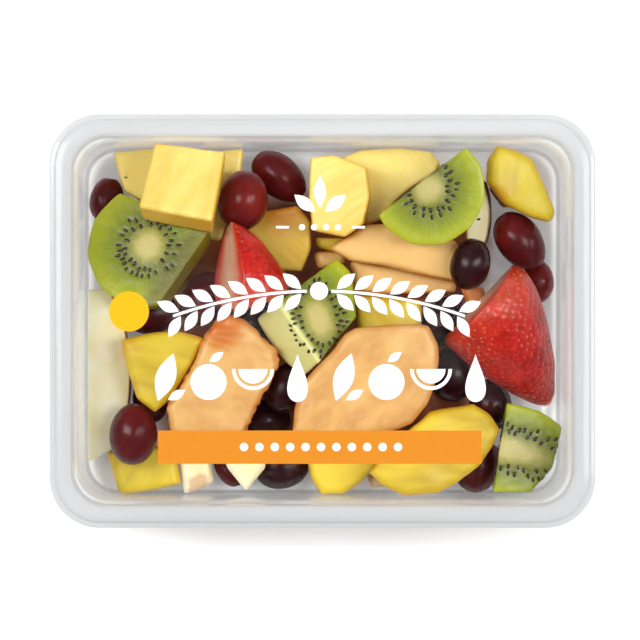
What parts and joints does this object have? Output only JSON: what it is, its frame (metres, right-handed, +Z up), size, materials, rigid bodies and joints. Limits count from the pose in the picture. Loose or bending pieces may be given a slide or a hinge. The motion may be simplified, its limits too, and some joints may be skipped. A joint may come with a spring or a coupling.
{
  "type": "fruit salad in a sealed tray",
  "caption": "Cut fruit salad in a clear rectangular tray with a wide flange and a sealed clear film: grapes, kiwi, strawberry, pineapple, mango, melon and apple.",
  "frame": {"origin": "middle of the tray's foot, on the surface that the tray stands on", "axes": "+X along the tray's long side, +Y across it, +Z up through the film"},
  "size_m": [0.19, 0.144, 0.0506],
  "materials": {
    "tray": "clear thin plastic, frosted on the flange",
    "film": "clear glossy film with plain printed shapes",
    "grape": "dark red-purple skin with a pale bloom",
    "kiwi": "moist green flesh",
    "strawberry": "glossy red skin",
    "pineapple": "moist fibrous yellow flesh",
    "mango": "smooth moist yellow flesh",
    "melon": "moist orange flesh",
    "apple": "cream flesh with a thin skin"
  },
  "bodies": {
    "root": {"tray": "tray", "film": "film", "grape_left_wall": "grape", "grape_corner": "grape", "grape_under_kiwi": "grape", "grape_under_berry": "grape", "grape_left_gap": "grape", "grape_bottom_left": "grape", "grape_bottom": "grape", "grape_middle_low": "grape", "grape_middle": "grape", "grape_centre": "grape", "grape_bottom_right": "grape", "grape_right_low": "grape", "grape_right_mid": "grape", "grape_right_high": "grape", "grape_right_wall": "grape", "grape_lower_left": "grape", "grape_upper_left": "grape", "grape_top": "grape", "grape_right": "grape", "grape_upper_right": "grape", "kiwi_left": "kiwi", "kiwi_centre": "kiwi", "kiwi_right": "kiwi", "kiwi_bottom_right": "kiwi", "strawberry_left": "strawberry", "strawberry_right": "strawberry", "pineapple_corner": "pineapple", "pineapple_back": "pineapple", "pineapple_front": "pineapple", "pineapple_golden": "pineapple", "pineapple_mid": "pineapple", "pineapple_mid_back": "pineapple", "mango_left": "mango", "mango_bottom_left": "mango", "mango_bottom": "mango", "mango_bottom_right": "mango", "mango_mid": "mango", "mango_small": "mango", "mango_top_right": "mango", "melon_left": "melon", "melon_big": "melon", "melon_mid_top": "melon", "melon_mid_low": "melon", "melon_small": "melon", "melon_chip": "melon", "melon_right": "melon", "apple_wedge_left": "apple", "apple_wedge_right": "apple", "apple_bottom_left": "apple", "apple_bottom": "apple", "apple_chip": "apple", "apple_inner": "apple"}
  },
  "joints": []
}
